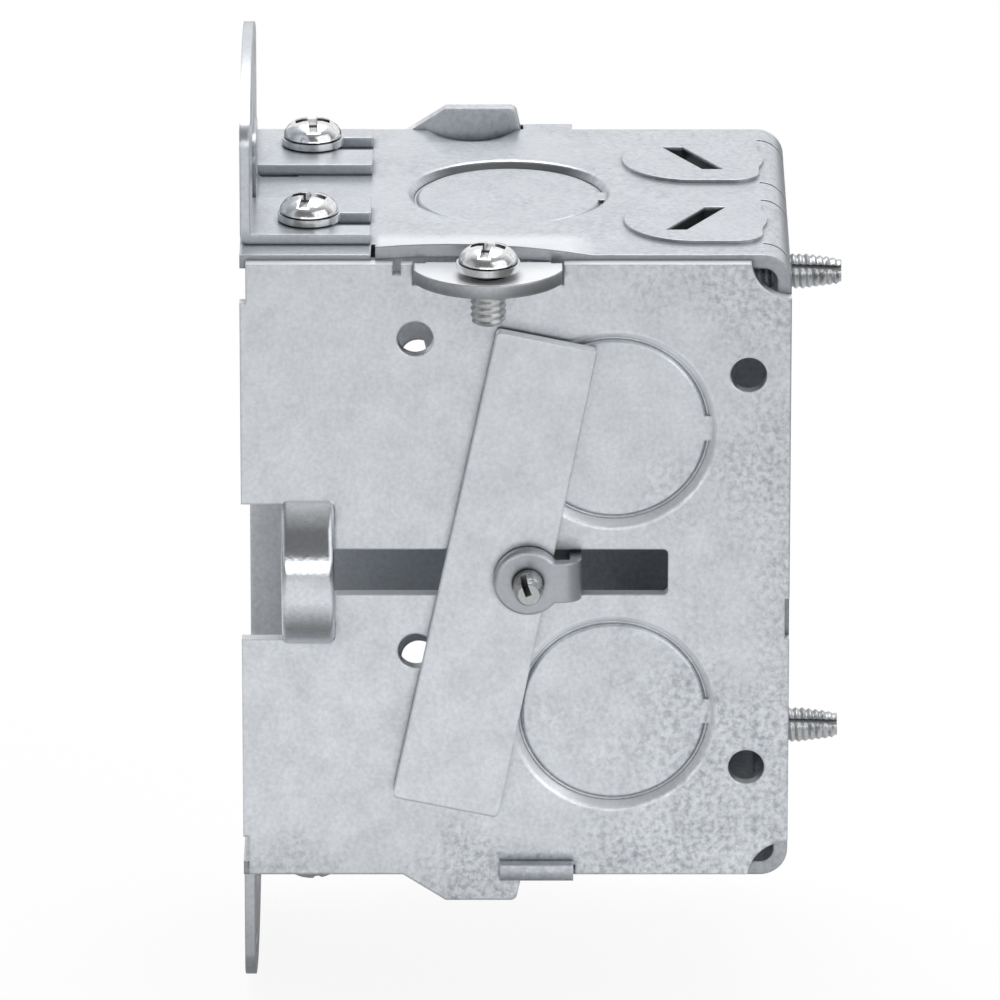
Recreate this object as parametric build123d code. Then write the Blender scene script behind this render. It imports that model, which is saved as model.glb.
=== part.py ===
from build123d import *
import os

# Gangable steel switch box with plaster ears, cable clamps and a swing bar on each side.
# Millimetres. +Z up the long side of the box, the open front faces -Y, the back +Y.
# The origin lies midway between the two device screw holes, in their front face.
# The box is the same after half a turn about Y, so lower and left pieces are turned copies.

# Sheet box
BOX_WIDTH = 50.8
BOX_HEIGHT = 76.2
BOX_DEPTH = 63.5
SHEET = 1.6
BEND_RADIUS = 3.2
PLATE_DROP = 0.6
CUT_MARGIN = 1.0

# Device tabs and their relief slits
DEVICE_HOLE_RISE = 3.57
DEVICE_HOLE_RADIUS = 1.4
TAB_WIDTH = 11.0
TAB_ABOVE_HOLE = 4.6
TAB_CORNER_RADIUS = 3.0
TAB_BEND_RADIUS = 2.2
SLIT_WIDTH = 1.3
SLIT_LENGTH = 6.3

# Knockouts and pry-outs
KNOCKOUT_RADIUS = 10.95
KNOCKOUT_GAP = 0.3
KNOCKOUT_SHIFT = 0.6
KNOCKOUT_BEVEL = 0.35
KNOCKOUT_RIM = 0.35
KNOCKOUT_RIM_DEPTH = 0.12
KNOCKOUT_THROAT = 0.65
KNOCKOUT_THROAT_DEPTH = 0.7
KNOCKOUT_TIE = 3.0
END_KNOCKOUT_INSET = 32.5
SIDE_KNOCKOUT_INSET = 20.4
SIDE_KNOCKOUT_Z = 17.4
PRYOUT_X = 11.4
PRYOUT_WIDTH = 16.6
PRYOUT_LENGTH = 16.0
PRYOUT_RISE = 0.4
PRYOUT_REAR_RADIUS = 3.0
PRYOUT_SLIT = 0.4
PRYOUT_BACK_DROP = 7.0
PRYOUT_SLOT_INSET = 10.9
PRYOUT_SLOT_REACH = 4.2
PRYOUT_SLOT_SLANT = 2.3
PRYOUT_SLOT_WIDTH = 2.5

# Edge forms of the end walls
BOW_FRONT_Y = 15.6
BOW_REAR_Y = 40.6
BOW_RISE = 1.3
BOW_FRONT_RISE = 1.0
BOW_RUN = 4.0
BOW_SLIT = 0.5
DIP_FRONT_Y = 21.3
DIP_REAR_Y = 32.0
DIP_DEPTH = 1.5
DIP_RUN = 5.0

# Edge hook that holds the far edge of a side plate
HOOK_FRONT_Y = 32.7
HOOK_REAR_Y = 38.5
HOOK_WING = 2.8
HOOK_GRIP = 0.8
HOOK_CLEARANCE = 0.2

# Side plate
FRONT_SETBACK = 0.7
SETBACK_LENGTH = 4.7
NOTCH_DEPTH = 10.8
NOTCH_HEIGHT = 16.6
ARCH_WIDTH = 6.1
ARCH_BULGE = 4.5
ARCH_EDGE_RADIUS = 0.7
SLOT_REAR_INSET = 14.1
SLOT_HEIGHT = 5.6
SLOT_CORNER_RADIUS = 0.6
BACK_NOTCH_DEPTH = 0.5
BACK_NOTCH_LENGTH = 5.0
BACK_NOTCH_Z = -5.8
CORNER_CUT_RADIUS = 4.7
EDGE_TAB_REACH = 3.2
EDGE_TAB_ROOT_Y = 18.6
EDGE_TAB_FRONT_Y = 23.6
EDGE_TAB_REAR_Y = 31.8
EDGE_TAB_RADIUS = 0.8
FIXING_HOLE_RADIUS = 2.1
FIXING_HOLE_INSET = 4.9
FIXING_HOLE_SPACING = 48.2
NAIL_HOLE_Y = 20.2
UPPER_NAIL_HOLE_Z = 28.5
LOWER_NAIL_HOLE_Z = -9.7

# Gang lug, the tongue under it and the gang screw
LUG_Y = 28.6
LUG_REACH = 8.3
LUG_HALF_WIDTH = 8.5
LUG_ARC_RADIUS = 9.1
LUG_DROP = 0.45
LUG_BEND_RADIUS = 1.4
LUG_RELIEF_WIDTH = 1.3
LUG_RELIEF_DEPTH = 2.7
EDGE_NICK_AHEAD = 2.0
EDGE_NICK_WIDTH = 0.9
EDGE_NICK_DEPTH = 1.3
TONGUE_WIDTH = 7.2
TONGUE_REACH = 1.9
GANG_SCREW_OUT = 4.2
GANG_SCREW_REACH = 6.5
GANG_HEAD_GAP = 0.7

# Screws
SCREW_RADIUS = 2.05
SCREW_HEAD_RADIUS = 3.65
SCREW_HEAD_HEIGHT = 2.3
SCREW_CROWN_HEIGHT = 1.1
SCREW_CROWN_RADIUS = 2.0
SCREW_SLOT_WIDTH = 1.1
SCREW_SLOT_DEPTH = 1.2
SCREW_TIP_CHAMFER = 0.5
THREAD_CLEARANCE = 0.05
SEAT_CLEARANCE = 0.05

# Plaster ears
EAR_SHEET = 1.2
EAR_WIDTH = 40.0
EAR_RISE = 18.9
EAR_TOP_RADIUS = 40.0
EAR_CORNER_RADIUS = 3.0
EAR_BEND_RADIUS = 1.1
EAR_WINDOW_GAP = 0.7
EAR_WINDOW_TOP_GAP = 1.0
EAR_LEG_LENGTH = 15.0
EAR_SLOT_WIDTH = 4.6
EAR_SLOT_FRONT_Y = 5.5
EAR_HOLE_RADIUS = 2.0
EAR_HOLE_X = 12.0
EAR_HOLE_RISE = 12.9
EAR_SCREW_X = 14.3
EAR_SCREW_Y = 7.9
EAR_SCREW_REACH = 2.6

# Swing bar and its hanger
BAR_LENGTH = 58.4
BAR_TOP_WIDTH = 11.8
BAR_FOOT_WIDTH = 12.5
BAR_DROP = 0.5
BAR_GAP = 0.6
BAR_TILT = 11.7
BAR_CORNER_RADIUS = 0.6
PIVOT_Y = 33.2
PIVOT_OFF_CENTRE = 3.7
PIVOT_RADIUS = 1.75
PIVOT_CLEARANCE = 0.05
PIVOT_HEAD_HEIGHT = 1.9
PIVOT_TIP_OUT = 3.9
HANGER_SHEET = 1.4
HANGER_GAP = 0.3
HANGER_DISC_RADIUS = 4.0
HANGER_RIM_RADIUS = 0.5
HANGER_BEND_RADIUS = 2.2
HANGER_NECK_HEIGHT = 4.8
HANGER_REAR = 6.2
HANGER_FOOT_FRONT = 4.4
HANGER_FOOT_HEIGHT = 8.6

# Cable clamps
CLAMP_SHEET = 1.2
CLAMP_WALL_GAP = 2.2
CLAMP_HEIGHT = 12.0
CLAMP_SEAT_INSET = 19.2
CLAMP_WING_X = 11.0
CLAMP_WING_RADIUS = 7.5
CLAMP_WING_ANGLE = 58.0
CLAMP_HOLE_CLEARANCE = 0.35
CLAMP_SCREW_TIP_OUT = 6.4

# Planes that several pieces share
BODY_SIDE_X = BOX_WIDTH / 2 - SHEET
PLATE_OUTER_X = BOX_WIDTH / 2
WALL_TOP_Z = BOX_HEIGHT / 2
WALL_UNDER_Z = WALL_TOP_Z - SHEET
PLATE_TOP_Z = WALL_TOP_Z - PLATE_DROP
BACK_INNER_Y = BOX_DEPTH - SHEET
DEVICE_HOLE_Z = WALL_TOP_Z + DEVICE_HOLE_RISE
TAB_TOP_Z = DEVICE_HOLE_Z + TAB_ABOVE_HOLE
LUG_TOP_Z = WALL_TOP_Z - LUG_DROP
LUG_UNDER_Z = LUG_TOP_Z - SHEET
BOW_INNER_X = BODY_SIDE_X - BOW_RUN
GANG_SCREW_X = PLATE_OUTER_X + GANG_SCREW_OUT
EAR_TOP_Z = WALL_TOP_Z + EAR_RISE
EAR_SEAT_Z = WALL_TOP_Z + SEAT_CLEARANCE
EAR_LEG_TOP_Z = EAR_SEAT_Z + EAR_SHEET
BAR_INNER_X = PLATE_OUTER_X + BAR_GAP
BAR_OUTER_X = BAR_INNER_X + SHEET
HANGER_OUTER_X = BAR_OUTER_X + HANGER_GAP + HANGER_SHEET
HANGER_FOOT_X = BODY_SIDE_X - HANGER_GAP - HANGER_SHEET
HANGER_REAR_Y = PIVOT_Y + HANGER_REAR
CLAMP_Z = WALL_UNDER_Z - CLAMP_WALL_GAP - CLAMP_HEIGHT / 2
CLAMP_SEAT_Y = BOX_DEPTH - CLAMP_SEAT_INSET


def block(x, y, z):
    """A box from three (low, high) pairs."""
    size = [high - low for low, high in (x, y, z)]
    middle = [(high + low) / 2 for low, high in (x, y, z)]
    return Pos(*middle) * Box(*size)


def rod(start, direction, radius, length):
    """A plain round bar from a point along a direction."""
    return extrude(Plane(start, z_dir=direction) * Circle(radius), length)


def half_turn(shape):
    """The same piece on the other side of the box, turned about the depth axis."""
    return Rot(0, 180, 0) * shape


def pan_head_screw(seat, direction, radius, length, head_height=SCREW_HEAD_HEIGHT):
    """A slotted pan-head screw whose head sits on seat and whose shank runs along direction."""
    brim = SCREW_CROWN_HEIGHT - head_height
    with BuildSketch(Plane.XZ) as half_section:
        with BuildLine():
            Polyline((0, length), (radius - SCREW_TIP_CHAMFER, length), (radius, length - SCREW_TIP_CHAMFER),
                     (radius, 0), (SCREW_HEAD_RADIUS, 0), (SCREW_HEAD_RADIUS, brim),
                     (SCREW_CROWN_RADIUS, -head_height), (0, -head_height), close=True)
        make_face()
    screw = revolve(half_section.sketch, Axis.Z)
    slot_top = -head_height - CUT_MARGIN
    half_slot = SCREW_SLOT_WIDTH / 2
    reach = SCREW_HEAD_RADIUS + CUT_MARGIN
    screw -= block((-half_slot, half_slot), (-reach, reach), (slot_top, SCREW_SLOT_DEPTH - head_height))
    return Plane(seat, z_dir=direction) * screw


def turned(*half_section):
    """A solid of revolution about Z from the points of its half section."""
    with BuildSketch(Plane.XZ) as profile:
        with BuildLine():
            Polyline(*half_section, close=True)
        make_face()
    return revolve(profile.sketch, Axis.Z)


def knockout(centre, outward, tie_direction):
    """A half-sheared knockout: its hole with a drawn-in rim, and the slug, pushed in and held by one tie."""
    hole_radius = KNOCKOUT_RADIUS + KNOCKOUT_GAP / 2
    slug_radius = KNOCKOUT_RADIUS - KNOCKOUT_GAP / 2
    throat_radius = hole_radius + KNOCKOUT_THROAT
    rim_radius = throat_radius + KNOCKOUT_RIM
    throat_low = -KNOCKOUT_RIM_DEPTH - KNOCKOUT_THROAT_DEPTH
    hole = turned((0, -SHEET - CUT_MARGIN), (hole_radius, -SHEET - CUT_MARGIN), (hole_radius, throat_low),
                  (throat_radius, -KNOCKOUT_RIM_DEPTH), (rim_radius, 0), (rim_radius, CUT_MARGIN), (0, CUT_MARGIN))
    slug = turned((0, -SHEET), (slug_radius, -SHEET), (slug_radius, -KNOCKOUT_BEVEL),
                  (slug_radius - KNOCKOUT_BEVEL, 0), (0, 0))
    slug = Pos(0, 0, -KNOCKOUT_SHIFT) * slug
    slug += block((slug_radius - SHEET, hole_radius + SHEET), (-KNOCKOUT_TIE / 2, KNOCKOUT_TIE / 2),
                  (-SHEET, -KNOCKOUT_SHIFT))
    place = Plane(centre, x_dir=tie_direction, z_dir=outward)
    return place * hole, place * slug


def edge_form(inner_x, outer_x, front_y, rear_y, front_rise, middle_rise):
    """A stretch of end wall that runs from flat at inner_x to bowed at the edge outer_x."""
    middle_y = (front_y + rear_y) / 2
    low = [(front_y, WALL_UNDER_Z + front_rise), (middle_y, WALL_UNDER_Z + middle_rise), (rear_y, WALL_UNDER_Z)]
    high = [(y, z + SHEET) for y, z in low]

    def section_plane(x):
        return Plane((x, 0, 0), x_dir=(0, 1, 0), z_dir=(1, 0, 0))

    with BuildSketch(section_plane(inner_x)) as flat:
        Polygon((front_y, WALL_UNDER_Z), (rear_y, WALL_UNDER_Z), (rear_y, WALL_TOP_Z), (front_y, WALL_TOP_Z),
                align=None)
    with BuildSketch(section_plane(outer_x)) as bowed:
        with BuildLine():
            ThreePointArc(*low)
            Line(low[-1], high[-1])
            ThreePointArc(*reversed(high))
            Line(high[0], low[0])
        make_face()
    return loft([flat.sketch.face(), bowed.sketch.face()], ruled=True)


def device_tab():
    """The centre strip of an end wall, turned up at the front to take a device screw."""
    with BuildSketch(Plane.YZ) as profile:
        Polygon((0, WALL_UNDER_Z), (SLIT_LENGTH, WALL_UNDER_Z), (SLIT_LENGTH, WALL_TOP_Z), (SHEET, WALL_TOP_Z),
                (SHEET, TAB_TOP_Z), (0, TAB_TOP_Z), align=None)
        fillet(profile.vertices().sort_by_distance((0, WALL_UNDER_Z))[0], TAB_BEND_RADIUS)
        fillet(profile.vertices().sort_by_distance((SHEET, WALL_TOP_Z))[0], TAB_BEND_RADIUS - SHEET)
    tab = extrude(profile.sketch, TAB_WIDTH / 2, both=True)
    corners = tab.edges().filter_by(Axis.Y).group_by(Axis.Z)[-1]
    tab = fillet(corners, TAB_CORNER_RADIUS)
    return tab - rod((0, -CUT_MARGIN, DEVICE_HOLE_Z), (0, 1, 0), DEVICE_HOLE_RADIUS, SHEET + 2 * CUT_MARGIN)


def pryout(x, lean):
    """One pry-out: its raised panel, the hollow under it, its slanted lever slot and two slits in the back bend."""
    half = PRYOUT_WIDTH / 2
    rear_y = BOX_DEPTH - BEND_RADIUS
    round_y = rear_y - PRYOUT_LENGTH + half
    plan = Pos(x, round_y) * Circle(half)
    plan += Pos(x, (round_y + rear_y) / 2) * Rectangle(PRYOUT_WIDTH, rear_y - round_y)
    plan = fillet(plan.vertices().group_by(Axis.Y)[-1], PRYOUT_REAR_RADIUS)
    panel = extrude(Plane((0, 0, WALL_TOP_Z)) * plan, PRYOUT_RISE)
    hollow = extrude(Plane((0, 0, WALL_UNDER_Z)) * plan, PRYOUT_RISE)
    slot_y = BOX_DEPTH - PRYOUT_SLOT_INSET
    slant = lean * PRYOUT_SLOT_SLANT
    half_slot = PRYOUT_SLOT_WIDTH / 2
    lever = Polygon((x - PRYOUT_SLOT_REACH, slot_y + slant - half_slot),
                    (x + PRYOUT_SLOT_REACH, slot_y - slant - half_slot),
                    (x + PRYOUT_SLOT_REACH, slot_y - slant + half_slot),
                    (x - PRYOUT_SLOT_REACH, slot_y + slant + half_slot), align=None)
    cuts = extrude(Plane((0, 0, WALL_UNDER_Z - CUT_MARGIN)) * lever, SHEET + PRYOUT_RISE + 2 * CUT_MARGIN)
    for side in (x - half, x + half - PRYOUT_SLIT):
        cuts += block((side, side + PRYOUT_SLIT), (rear_y, BOX_DEPTH + CUT_MARGIN),
                      (WALL_TOP_Z - PRYOUT_BACK_DROP, WALL_TOP_Z + CUT_MARGIN))
    return panel, hollow + cuts


def edge_hook():
    """The tongue of an end wall that passes over the left plate's edge and turns down outside it."""
    wall = -BODY_SIDE_X
    inner = -PLATE_OUTER_X - HOOK_CLEARANCE
    outer = inner - SHEET
    low = WALL_UNDER_Z - HOOK_GRIP
    with BuildSketch(Plane.XZ) as profile:
        Polygon((wall, WALL_UNDER_Z), (inner, WALL_UNDER_Z), (inner, low), (outer, low), (outer, WALL_TOP_Z),
                (wall, WALL_TOP_Z), align=None)
        fillet(profile.vertices().sort_by_distance((outer, WALL_TOP_Z))[0], SHEET)
    root = extrude(Pos(0, HOOK_FRONT_Y, 0) * profile.sketch, HOOK_FRONT_Y - HOOK_REAR_Y)
    wing = extrude(Pos(0, HOOK_FRONT_Y, 0) * profile.sketch, HOOK_WING)
    wing &= block((outer, inner), (0, HOOK_FRONT_Y), (low, WALL_TOP_Z))
    return root + wing


def plate_tongue():
    """The tongue that hangs from the end wall and reaches out under the gang lug to hold the plate's edge."""
    half = TONGUE_WIDTH / 2
    y = (LUG_Y - half, LUG_Y + half)
    low = LUG_UNDER_Z - SHEET
    root_x = BOW_INNER_X - SHEET
    tongue = block((root_x, BOW_INNER_X), y, (low, WALL_UNDER_Z))
    return tongue + block((root_x, PLATE_OUTER_X + TONGUE_REACH), y, (low, LUG_UNDER_Z))


def box_body():
    """One folded sheet: upper end wall, back and lower end wall, with all that is pressed out of them."""
    with BuildSketch(Plane.YZ) as channel:
        with Locations((BOX_DEPTH / 2, 0)):
            Rectangle(BOX_DEPTH, BOX_HEIGHT)
        fillet(channel.vertices().group_by(Axis.X)[-1], BEND_RADIUS)
        with BuildSketch(Plane.YZ, mode=Mode.SUBTRACT) as hollow:
            with Locations((BACK_INNER_Y / 2, 0)):
                Rectangle(BACK_INNER_Y, BOX_HEIGHT - 2 * SHEET)
            fillet(hollow.vertices().group_by(Axis.X)[-1], BEND_RADIUS - SHEET)
    body = extrude(channel.sketch, BODY_SIDE_X, both=True)

    wall_z = (WALL_UNDER_Z - CUT_MARGIN, WALL_TOP_Z + CUT_MARGIN)
    strip = TAB_WIDTH / 2 + SLIT_WIDTH
    dip_inner_x = DIP_RUN - BODY_SIDE_X
    cuts = block((-strip, strip), (-CUT_MARGIN, SLIT_LENGTH), wall_z)
    cuts += block((BOW_INNER_X, BODY_SIDE_X + CUT_MARGIN), (BOW_FRONT_Y - BOW_SLIT, BOW_REAR_Y), wall_z)
    cuts += block((-BODY_SIDE_X - CUT_MARGIN, dip_inner_x), (DIP_FRONT_Y, DIP_REAR_Y), wall_z)
    hole, slug = knockout((0, BOX_DEPTH - END_KNOCKOUT_INSET, WALL_TOP_Z), (0, 0, 1), (0, 1, 0))
    forms = device_tab() + plate_tongue() + edge_hook() + slug
    forms += edge_form(BOW_INNER_X, BODY_SIDE_X, BOW_FRONT_Y, BOW_REAR_Y, BOW_FRONT_RISE, BOW_RISE)
    forms += edge_form(dip_inner_x, -BODY_SIDE_X, DIP_FRONT_Y, DIP_REAR_Y, 0, -DIP_DEPTH)
    late_cuts = rod((0, BACK_INNER_Y - CUT_MARGIN, CLAMP_Z), (0, 1, 0), SCREW_RADIUS + THREAD_CLEARANCE,
                    SHEET + 2 * CUT_MARGIN)
    for side in (-1, 1):
        panel, opened = pryout(side * PRYOUT_X, side)
        forms += panel
        late_cuts += opened
        late_cuts += rod((side * EAR_SCREW_X, EAR_SCREW_Y, wall_z[0]), (0, 0, 1), SCREW_RADIUS + THREAD_CLEARANCE,
                         SHEET + 2 * CUT_MARGIN)
    body = body - cuts - hole - half_turn(cuts) - half_turn(hole)
    body = body + forms + half_turn(forms)
    return body - late_cuts - half_turn(late_cuts)


def side_plate():
    """The right side plate: flat sheet with the notch, the arch over it, the guide slot and the gang lug."""
    notch = NOTCH_HEIGHT / 2
    slot = SLOT_HEIGHT / 2
    hook_y = (HOOK_FRONT_Y - HOOK_CLEARANCE, HOOK_REAR_Y + HOOK_CLEARANCE)
    hook_z = HOOK_CLEARANCE - WALL_UNDER_Z
    tab_z = -PLATE_TOP_Z - EDGE_TAB_REACH
    setback_z = PLATE_TOP_Z - SETBACK_LENGTH
    slot_rear = BOX_DEPTH - SLOT_REAR_INSET
    lug_y = (LUG_Y - LUG_HALF_WIDTH, LUG_Y + LUG_HALF_WIDTH)
    with BuildSketch(Plane.YZ) as outline:
        Polygon((FRONT_SETBACK, -PLATE_TOP_Z), (EDGE_TAB_ROOT_Y, -PLATE_TOP_Z), (EDGE_TAB_FRONT_Y, tab_z),
                (EDGE_TAB_REAR_Y, tab_z), (hook_y[0], -PLATE_TOP_Z), (hook_y[0], hook_z), (hook_y[1], hook_z),
                (hook_y[1], -PLATE_TOP_Z), (BOX_DEPTH, -PLATE_TOP_Z), (BOX_DEPTH, PLATE_TOP_Z),
                (FRONT_SETBACK, PLATE_TOP_Z), (FRONT_SETBACK, setback_z), (0, setback_z), (0, notch),
                (NOTCH_DEPTH, notch), (NOTCH_DEPTH, slot), (slot_rear, slot), (slot_rear, -slot),
                (NOTCH_DEPTH, -slot), (NOTCH_DEPTH, -notch), (0, -notch), (0, -setback_z),
                (FRONT_SETBACK, -setback_z), align=None)
        fillet(outline.vertices().sort_by_distance((EDGE_TAB_REAR_Y, tab_z))[0], EDGE_TAB_RADIUS)
        for z in (slot, -slot):
            fillet(outline.vertices().sort_by_distance((slot_rear, z))[0], SLOT_CORNER_RADIUS)
        with Locations((BOX_DEPTH, WALL_TOP_Z), (BOX_DEPTH, -WALL_TOP_Z)):
            Circle(CORNER_CUT_RADIUS, mode=Mode.SUBTRACT)
        with Locations((BOX_DEPTH, BACK_NOTCH_Z)):
            Rectangle(2 * BACK_NOTCH_DEPTH, BACK_NOTCH_LENGTH, mode=Mode.SUBTRACT)
        with Locations((lug_y[0] - EDGE_NICK_AHEAD, PLATE_TOP_Z)):
            Rectangle(EDGE_NICK_WIDTH, 2 * EDGE_NICK_DEPTH, mode=Mode.SUBTRACT)
        fixing_y = BOX_DEPTH - FIXING_HOLE_INSET
        with Locations((fixing_y, FIXING_HOLE_SPACING / 2), (fixing_y, -FIXING_HOLE_SPACING / 2),
                       (NAIL_HOLE_Y, UPPER_NAIL_HOLE_Z), (NAIL_HOLE_Y, LOWER_NAIL_HOLE_Z)):
            Circle(FIXING_HOLE_RADIUS, mode=Mode.SUBTRACT)
    plate = extrude(Pos(BODY_SIDE_X, 0, 0) * outline.sketch, SHEET)
    plate += plate_arch()

    through_x = (BODY_SIDE_X - CUT_MARGIN, PLATE_OUTER_X + CUT_MARGIN)
    relief_z = LUG_TOP_Z - LUG_RELIEF_DEPTH
    gap_y = (lug_y[0] - HOOK_CLEARANCE, lug_y[1] + HOOK_CLEARANCE)
    plate -= block(through_x, gap_y, (relief_z, PLATE_TOP_Z + CUT_MARGIN))
    plate += gang_lug(lug_y[0] + LUG_RELIEF_WIDTH, lug_y[1] - LUG_RELIEF_WIDTH, relief_z)
    tongue = TONGUE_WIDTH / 2 + HOOK_CLEARANCE
    plate -= block(through_x, (LUG_Y - tongue, LUG_Y + tongue), (LUG_UNDER_Z - SHEET - HOOK_CLEARANCE, LUG_UNDER_Z))
    for z in (SIDE_KNOCKOUT_Z, -SIDE_KNOCKOUT_Z):
        hole, slug = knockout((PLATE_OUTER_X, BOX_DEPTH - SIDE_KNOCKOUT_INSET, z), (1, 0, 0), (0, 1, 0))
        plate = plate - hole + slug
    return plate


def plate_arch():
    """The strap that bulges out over the notch, an arc of sheet from one side of it to the other."""
    half_chord = NOTCH_HEIGHT / 2
    radius = (half_chord ** 2 + ARCH_BULGE ** 2) / (2 * ARCH_BULGE)
    middle_x = (BODY_SIDE_X + PLATE_OUTER_X) / 2
    centre_x = middle_x + ARCH_BULGE - radius
    ring = Circle(radius + SHEET / 2) - Circle(radius - SHEET / 2)
    arch = extrude(Plane((centre_x, NOTCH_DEPTH, 0), z_dir=(0, -1, 0)) * ring, ARCH_WIDTH)
    reach = radius + SHEET
    arch &= block((BODY_SIDE_X, BODY_SIDE_X + 2 * reach), (0, NOTCH_DEPTH), (-reach, reach))
    outer_edges = arch.edges().filter_by(GeomType.CIRCLE).sort_by(SortBy.RADIUS)[-2:]
    return fillet(outer_edges, ARCH_EDGE_RADIUS)


def gang_lug(front_y, rear_y, low_z):
    """The round-fronted lug bent outwards from the plate's top edge, tapped for the gang screw."""
    height = (LUG_UNDER_Z, LUG_TOP_Z)
    bend = block((BODY_SIDE_X, PLATE_OUTER_X), (front_y, rear_y), (low_z, LUG_TOP_Z))
    bend_edge = bend.edges().filter_by(Axis.Y).sort_by_distance((BODY_SIDE_X, LUG_Y, LUG_TOP_Z))[0]
    bend = fillet(bend_edge, LUG_BEND_RADIUS)
    arc_x = PLATE_OUTER_X + LUG_REACH - LUG_ARC_RADIUS
    disc = rod((arc_x, LUG_Y, LUG_UNDER_Z), (0, 0, 1), LUG_ARC_RADIUS, SHEET)
    disc &= block((PLATE_OUTER_X, PLATE_OUTER_X + 2 * LUG_REACH), (LUG_Y - LUG_HALF_WIDTH, LUG_Y + LUG_HALF_WIDTH),
                  height)
    hole = rod((GANG_SCREW_X, LUG_Y, LUG_UNDER_Z - CUT_MARGIN), (0, 0, 1), SCREW_RADIUS + THREAD_CLEARANCE,
               SHEET + 2 * CUT_MARGIN)
    return bend + disc - hole


def gang_screw():
    """The screw through the right gang lug, its slotted head up."""
    seat_z = LUG_TOP_Z + GANG_HEAD_GAP
    return pan_head_screw((GANG_SCREW_X, LUG_Y, seat_z), (0, 0, -1), SCREW_RADIUS, GANG_SCREW_REACH)


def plaster_ear():
    """The upper ear: a round-topped flange at the front and two forked legs that lie on the end wall."""
    half = EAR_WIDTH / 2
    window = TAB_WIDTH / 2 + EAR_WINDOW_GAP
    window_top = TAB_TOP_Z + EAR_WINDOW_TOP_GAP
    crown = Pos(0, EAR_TOP_Z - EAR_TOP_RADIUS) * Circle(EAR_TOP_RADIUS)
    face = crown & Pos(0, EAR_SEAT_Z + EAR_TOP_Z / 2) * Rectangle(EAR_WIDTH, EAR_TOP_Z)
    face = fillet(face.vertices().group_by(Axis.Y)[-1], EAR_CORNER_RADIUS)
    face -= Pos(0, window_top / 2) * Rectangle(2 * window, window_top)
    for x in (-EAR_HOLE_X, EAR_HOLE_X):
        face -= Pos(x, WALL_TOP_Z + EAR_HOLE_RISE) * Circle(EAR_HOLE_RADIUS)
    ear = extrude(Plane((0, EAR_SHEET, 0), x_dir=(1, 0, 0), z_dir=(0, -1, 0)) * face, EAR_SHEET)
    round_y = EAR_SLOT_FRONT_Y + EAR_SLOT_WIDTH / 2
    for side in (-1, 1):
        inner, outer = sorted((side * window, side * half))
        leg = block((inner, outer), (0, EAR_LEG_LENGTH), (EAR_SEAT_Z, EAR_LEG_TOP_Z))
        slot = Pos(side * EAR_SCREW_X, round_y) * Circle(EAR_SLOT_WIDTH / 2)
        slot += Pos(side * EAR_SCREW_X, EAR_LEG_LENGTH) * Rectangle(EAR_SLOT_WIDTH, 2 * (EAR_LEG_LENGTH - round_y))
        ear += leg - extrude(Plane((0, 0, EAR_SEAT_Z - CUT_MARGIN)) * slot, EAR_SHEET + 2 * CUT_MARGIN)
    bend_edges = ear.edges().filter_by(Axis.X).group_by(Axis.Z)[0].group_by(Axis.Y)[0]
    return fillet(bend_edges, EAR_BEND_RADIUS)


def ear_screw(x):
    """One screw of the upper ear, through the leg's slot into the end wall."""
    length = EAR_LEG_TOP_Z - WALL_UNDER_Z + EAR_SCREW_REACH
    return pan_head_screw((x, EAR_SCREW_Y, EAR_LEG_TOP_Z + SEAT_CLEARANCE), (0, 0, -1), SCREW_RADIUS, length)


def swing_bar():
    """The right swing bar: a flat strip on a pivot near its rear edge, its top leaning to the back."""
    top, foot, half = BAR_TOP_WIDTH / 2, BAR_FOOT_WIDTH / 2, BAR_LENGTH / 2
    strip = Polygon((-foot, -half), (foot, -half), (top, half), (-top, half), align=None)
    strip = Pos(-PIVOT_OFF_CENTRE, -BAR_DROP) * fillet(strip.vertices(), BAR_CORNER_RADIUS)
    strip -= Circle(PIVOT_RADIUS + PIVOT_CLEARANCE)
    strip = Rot(0, 0, -BAR_TILT) * strip
    return extrude(Plane((BAR_INNER_X, PIVOT_Y, 0), x_dir=(0, 1, 0), z_dir=(1, 0, 0)) * strip, SHEET)


def bar_hanger():
    """The right hanger: a disc over the bar, a neck bent in through the slot and a foot inside the plate."""
    foot_front = PIVOT_Y - HANGER_FOOT_FRONT
    with BuildSketch(Plane.XY) as profile:
        Polygon((HANGER_OUTER_X, PIVOT_Y), (HANGER_OUTER_X, HANGER_REAR_Y), (HANGER_FOOT_X, HANGER_REAR_Y),
                (HANGER_FOOT_X, foot_front), (HANGER_FOOT_X + HANGER_SHEET, foot_front),
                (HANGER_FOOT_X + HANGER_SHEET, HANGER_REAR_Y - HANGER_SHEET),
                (HANGER_OUTER_X - HANGER_SHEET, HANGER_REAR_Y - HANGER_SHEET),
                (HANGER_OUTER_X - HANGER_SHEET, PIVOT_Y), align=None)
        fillet(profile.vertices().group_by(Axis.Y)[-1], HANGER_BEND_RADIUS)
    hanger = extrude(profile.sketch, HANGER_NECK_HEIGHT / 2, both=True)
    disc = rod((HANGER_OUTER_X, PIVOT_Y, 0), (-1, 0, 0), HANGER_DISC_RADIUS, HANGER_SHEET)
    hanger += fillet(disc.edges().sort_by(Axis.X)[-1], HANGER_RIM_RADIUS)
    half = HANGER_FOOT_HEIGHT / 2
    hanger += block((HANGER_FOOT_X, HANGER_FOOT_X + HANGER_SHEET), (foot_front, PIVOT_Y + HANGER_FOOT_FRONT),
                    (-half, half))
    return hanger - rod((HANGER_FOOT_X - CUT_MARGIN, PIVOT_Y, 0), (1, 0, 0), PIVOT_RADIUS + THREAD_CLEARANCE,
                        HANGER_OUTER_X - HANGER_FOOT_X + 2 * CUT_MARGIN)


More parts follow.
